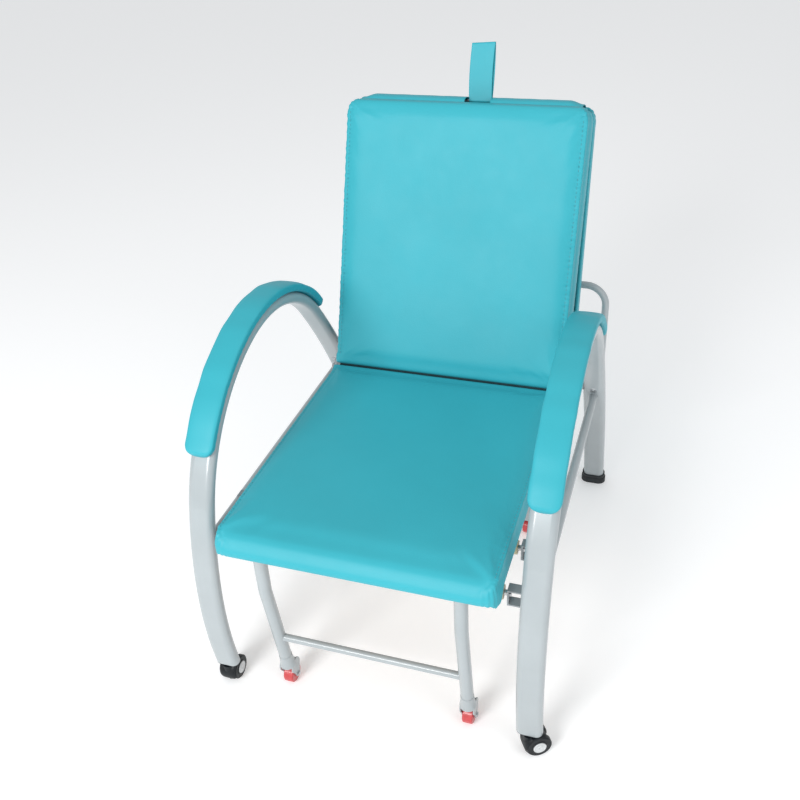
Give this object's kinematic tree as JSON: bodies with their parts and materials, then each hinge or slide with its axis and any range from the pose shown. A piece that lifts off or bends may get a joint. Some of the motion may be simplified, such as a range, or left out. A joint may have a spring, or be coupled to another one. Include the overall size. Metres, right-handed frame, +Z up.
{
  "type": "fold-out patient chair",
  "caption": "Fold-out hospital chair: teal vinyl seat, back and head panels hinged in a chain between arched tube arms, with a pull strap and a wheeled seat trolley.",
  "frame": {"origin": "on the floor, on the chair's plane of symmetry, midway between the seat's front edge and the head panel's top rear edge", "axes": "+Z up, +Y from the front of the chair towards its back, +X across the chair towards the sitter's left arm as seen from the front right"},
  "size_m": [0.6917, 0.9272, 1.0821],
  "materials": {
    "vinyl": "satin",
    "white_paint": "gloss",
    "zinc_steel": "satin",
    "black_rubber": "matte",
    "black_plastic": "gloss",
    "red_plastic": "gloss",
    "cream_nylon": "satin",
    "plywood": "matte"
  },
  "bodies": {
    "root": {"left_arm_tube": "white_paint", "right_arm_tube": "white_paint", "left_arm_pad": "vinyl", "right_arm_pad": "vinyl", "arm_pad_screws": "zinc_steel", "left_side_rail": "white_paint", "right_side_rail": "white_paint", "rail_bolts": "zinc_steel", "rear_tie_bar": "white_paint", "rear_cross_tube": "white_paint", "left_rear_foot": "black_rubber", "right_rear_foot": "black_rubber", "left_leg_plug": "black_plastic", "right_leg_plug": "black_plastic", "roller_brackets": "white_paint", "roller_bolts": "zinc_steel"},
    "head": {"head_frame": "white_paint", "head_board": "plywood", "head_cushion": "vinyl", "top_hinge_rod": "zinc_steel"},
    "back": {"back_frame": "white_paint", "back_board": "plywood", "back_cushion": "vinyl", "back_hinge_plates": "zinc_steel"},
    "seat": {"seat_frame": "white_paint", "seat_board": "plywood", "seat_cushion": "vinyl", "seat_hinge_plates": "zinc_steel", "seat_hinge_bolts": "zinc_steel", "front_leg_frame": "white_paint", "rear_leg_frame": "white_paint", "left_front_fork": "white_paint", "left_front_axle": "zinc_steel", "right_front_fork": "white_paint", "right_front_axle": "zinc_steel", "left_rear_fork": "white_paint", "left_rear_axle": "zinc_steel", "right_rear_fork": "white_paint", "right_rear_axle": "zinc_steel"},
    "strap": {"pull_strap": "vinyl"},
    "left_caster": {"left_caster_housing": "black_plastic", "left_caster_axle": "zinc_steel"},
    "left_caster_inner": {"left_caster_wheel_inner": "black_plastic"},
    "left_caster_outer": {"left_caster_wheel_outer": "black_plastic"},
    "right_caster": {"right_caster_housing": "black_plastic", "right_caster_axle": "zinc_steel"},
    "right_caster_inner": {"right_caster_wheel_inner": "black_plastic"},
    "right_caster_outer": {"right_caster_wheel_outer": "black_plastic"},
    "left_front_roller": {"left_front_roller": "cream_nylon"},
    "left_mid_roller": {"left_mid_roller": "cream_nylon"},
    "right_front_roller": {"right_front_roller": "cream_nylon"},
    "right_mid_roller": {"right_mid_roller": "cream_nylon"},
    "left_front_wheel": {"left_front_wheel": "red_plastic"},
    "right_front_wheel": {"right_front_wheel": "red_plastic"},
    "left_rear_wheel": {"left_rear_wheel": "red_plastic"},
    "right_rear_wheel": {"right_rear_wheel": "red_plastic"}
  },
  "joints": [
    {"name": "bed_fold", "type": "hinge", "parent": "root", "child": "head", "pos_m": [0, 0.28036, 0.382], "axis": [1, 0, 0], "range_deg": [0, 101.75]},
    {"name": "panel_fold", "type": "hinge", "parent": "head", "child": "back", "pos_m": [0, 0.40301, 0.97149], "axis": [1, 0, 0], "range_deg": [-172.25, 0]},
    {"name": "seat_level", "type": "hinge", "parent": "back", "child": "seat", "pos_m": [0, 0.16136, 0.427], "axis": [1, 0, 0], "range_deg": [0, 70.5]},
    {"name": "strap_swing", "type": "hinge", "parent": "head", "child": "strap", "pos_m": [0, 0.40301, 0.97149], "axis": [1, 0, 0], "range_deg": [-86.18, 0]},
    {"name": "left_caster_swivel", "type": "hinge", "parent": "root", "child": "left_caster", "pos_m": [-0.31, -0.40614, 0.06], "axis": [0, 0, 1], "continuous": true},
    {"name": "left_caster_inner_spin", "type": "hinge", "parent": "left_caster", "child": "left_caster_inner", "pos_m": [-0.31, -0.39214, 0.0245], "axis": [1, 0, 0], "continuous": true},
    {"name": "left_caster_outer_spin", "type": "hinge", "parent": "left_caster", "child": "left_caster_outer", "pos_m": [-0.31, -0.39214, 0.0245], "axis": [1, 0, 0], "continuous": true},
    {"name": "right_caster_swivel", "type": "hinge", "parent": "root", "child": "right_caster", "pos_m": [0.31, -0.40614, 0.06], "axis": [0, 0, 1], "continuous": true},
    {"name": "right_caster_inner_spin", "type": "hinge", "parent": "right_caster", "child": "right_caster_inner", "pos_m": [0.32187, -0.39872, 0.0245], "axis": [0.5299, -0.848, 0], "continuous": true},
    {"name": "right_caster_outer_spin", "type": "hinge", "parent": "right_caster", "child": "right_caster_outer", "pos_m": [0.32187, -0.39872, 0.0245], "axis": [0.5299, -0.848, 0], "continuous": true},
    {"name": "left_front_roller_spin", "type": "hinge", "parent": "root", "child": "left_front_roller", "pos_m": [-0.2471, -0.38164, 0.368], "axis": [1, 0, 0], "continuous": true},
    {"name": "left_mid_roller_spin", "type": "hinge", "parent": "root", "child": "left_mid_roller", "pos_m": [-0.2471, -0.26664, 0.368], "axis": [1, 0, 0], "continuous": true},
    {"name": "right_front_roller_spin", "type": "hinge", "parent": "root", "child": "right_front_roller", "pos_m": [0.2471, -0.38164, 0.368], "axis": [1, 0, 0], "continuous": true},
    {"name": "right_mid_roller_spin", "type": "hinge", "parent": "root", "child": "right_mid_roller", "pos_m": [0.2471, -0.26664, 0.368], "axis": [1, 0, 0], "continuous": true},
    {"name": "left_front_wheel_spin", "type": "hinge", "parent": "seat", "child": "left_front_wheel", "pos_m": [-0.187, -0.37133, 0.02], "axis": [1, 0, 0], "continuous": true},
    {"name": "right_front_wheel_spin", "type": "hinge", "parent": "seat", "child": "right_front_wheel", "pos_m": [0.187, -0.37133, 0.02], "axis": [1, 0, 0], "continuous": true},
    {"name": "left_rear_wheel_spin", "type": "hinge", "parent": "seat", "child": "left_rear_wheel", "pos_m": [-0.187, 0.20077, 0.02], "axis": [1, 0, 0], "continuous": true},
    {"name": "right_rear_wheel_spin", "type": "hinge", "parent": "seat", "child": "right_rear_wheel", "pos_m": [0.187, 0.20077, 0.02], "axis": [1, 0, 0], "continuous": true}
  ],
  "couplings": [
    {"joint": "panel_fold", "follows": "bed_fold", "ratio": -1.6919},
    {"joint": "seat_level", "follows": "bed_fold", "ratio": 0.69187},
    {"joint": "strap_swing", "follows": "bed_fold", "ratio": -0.84593}
  ]
}
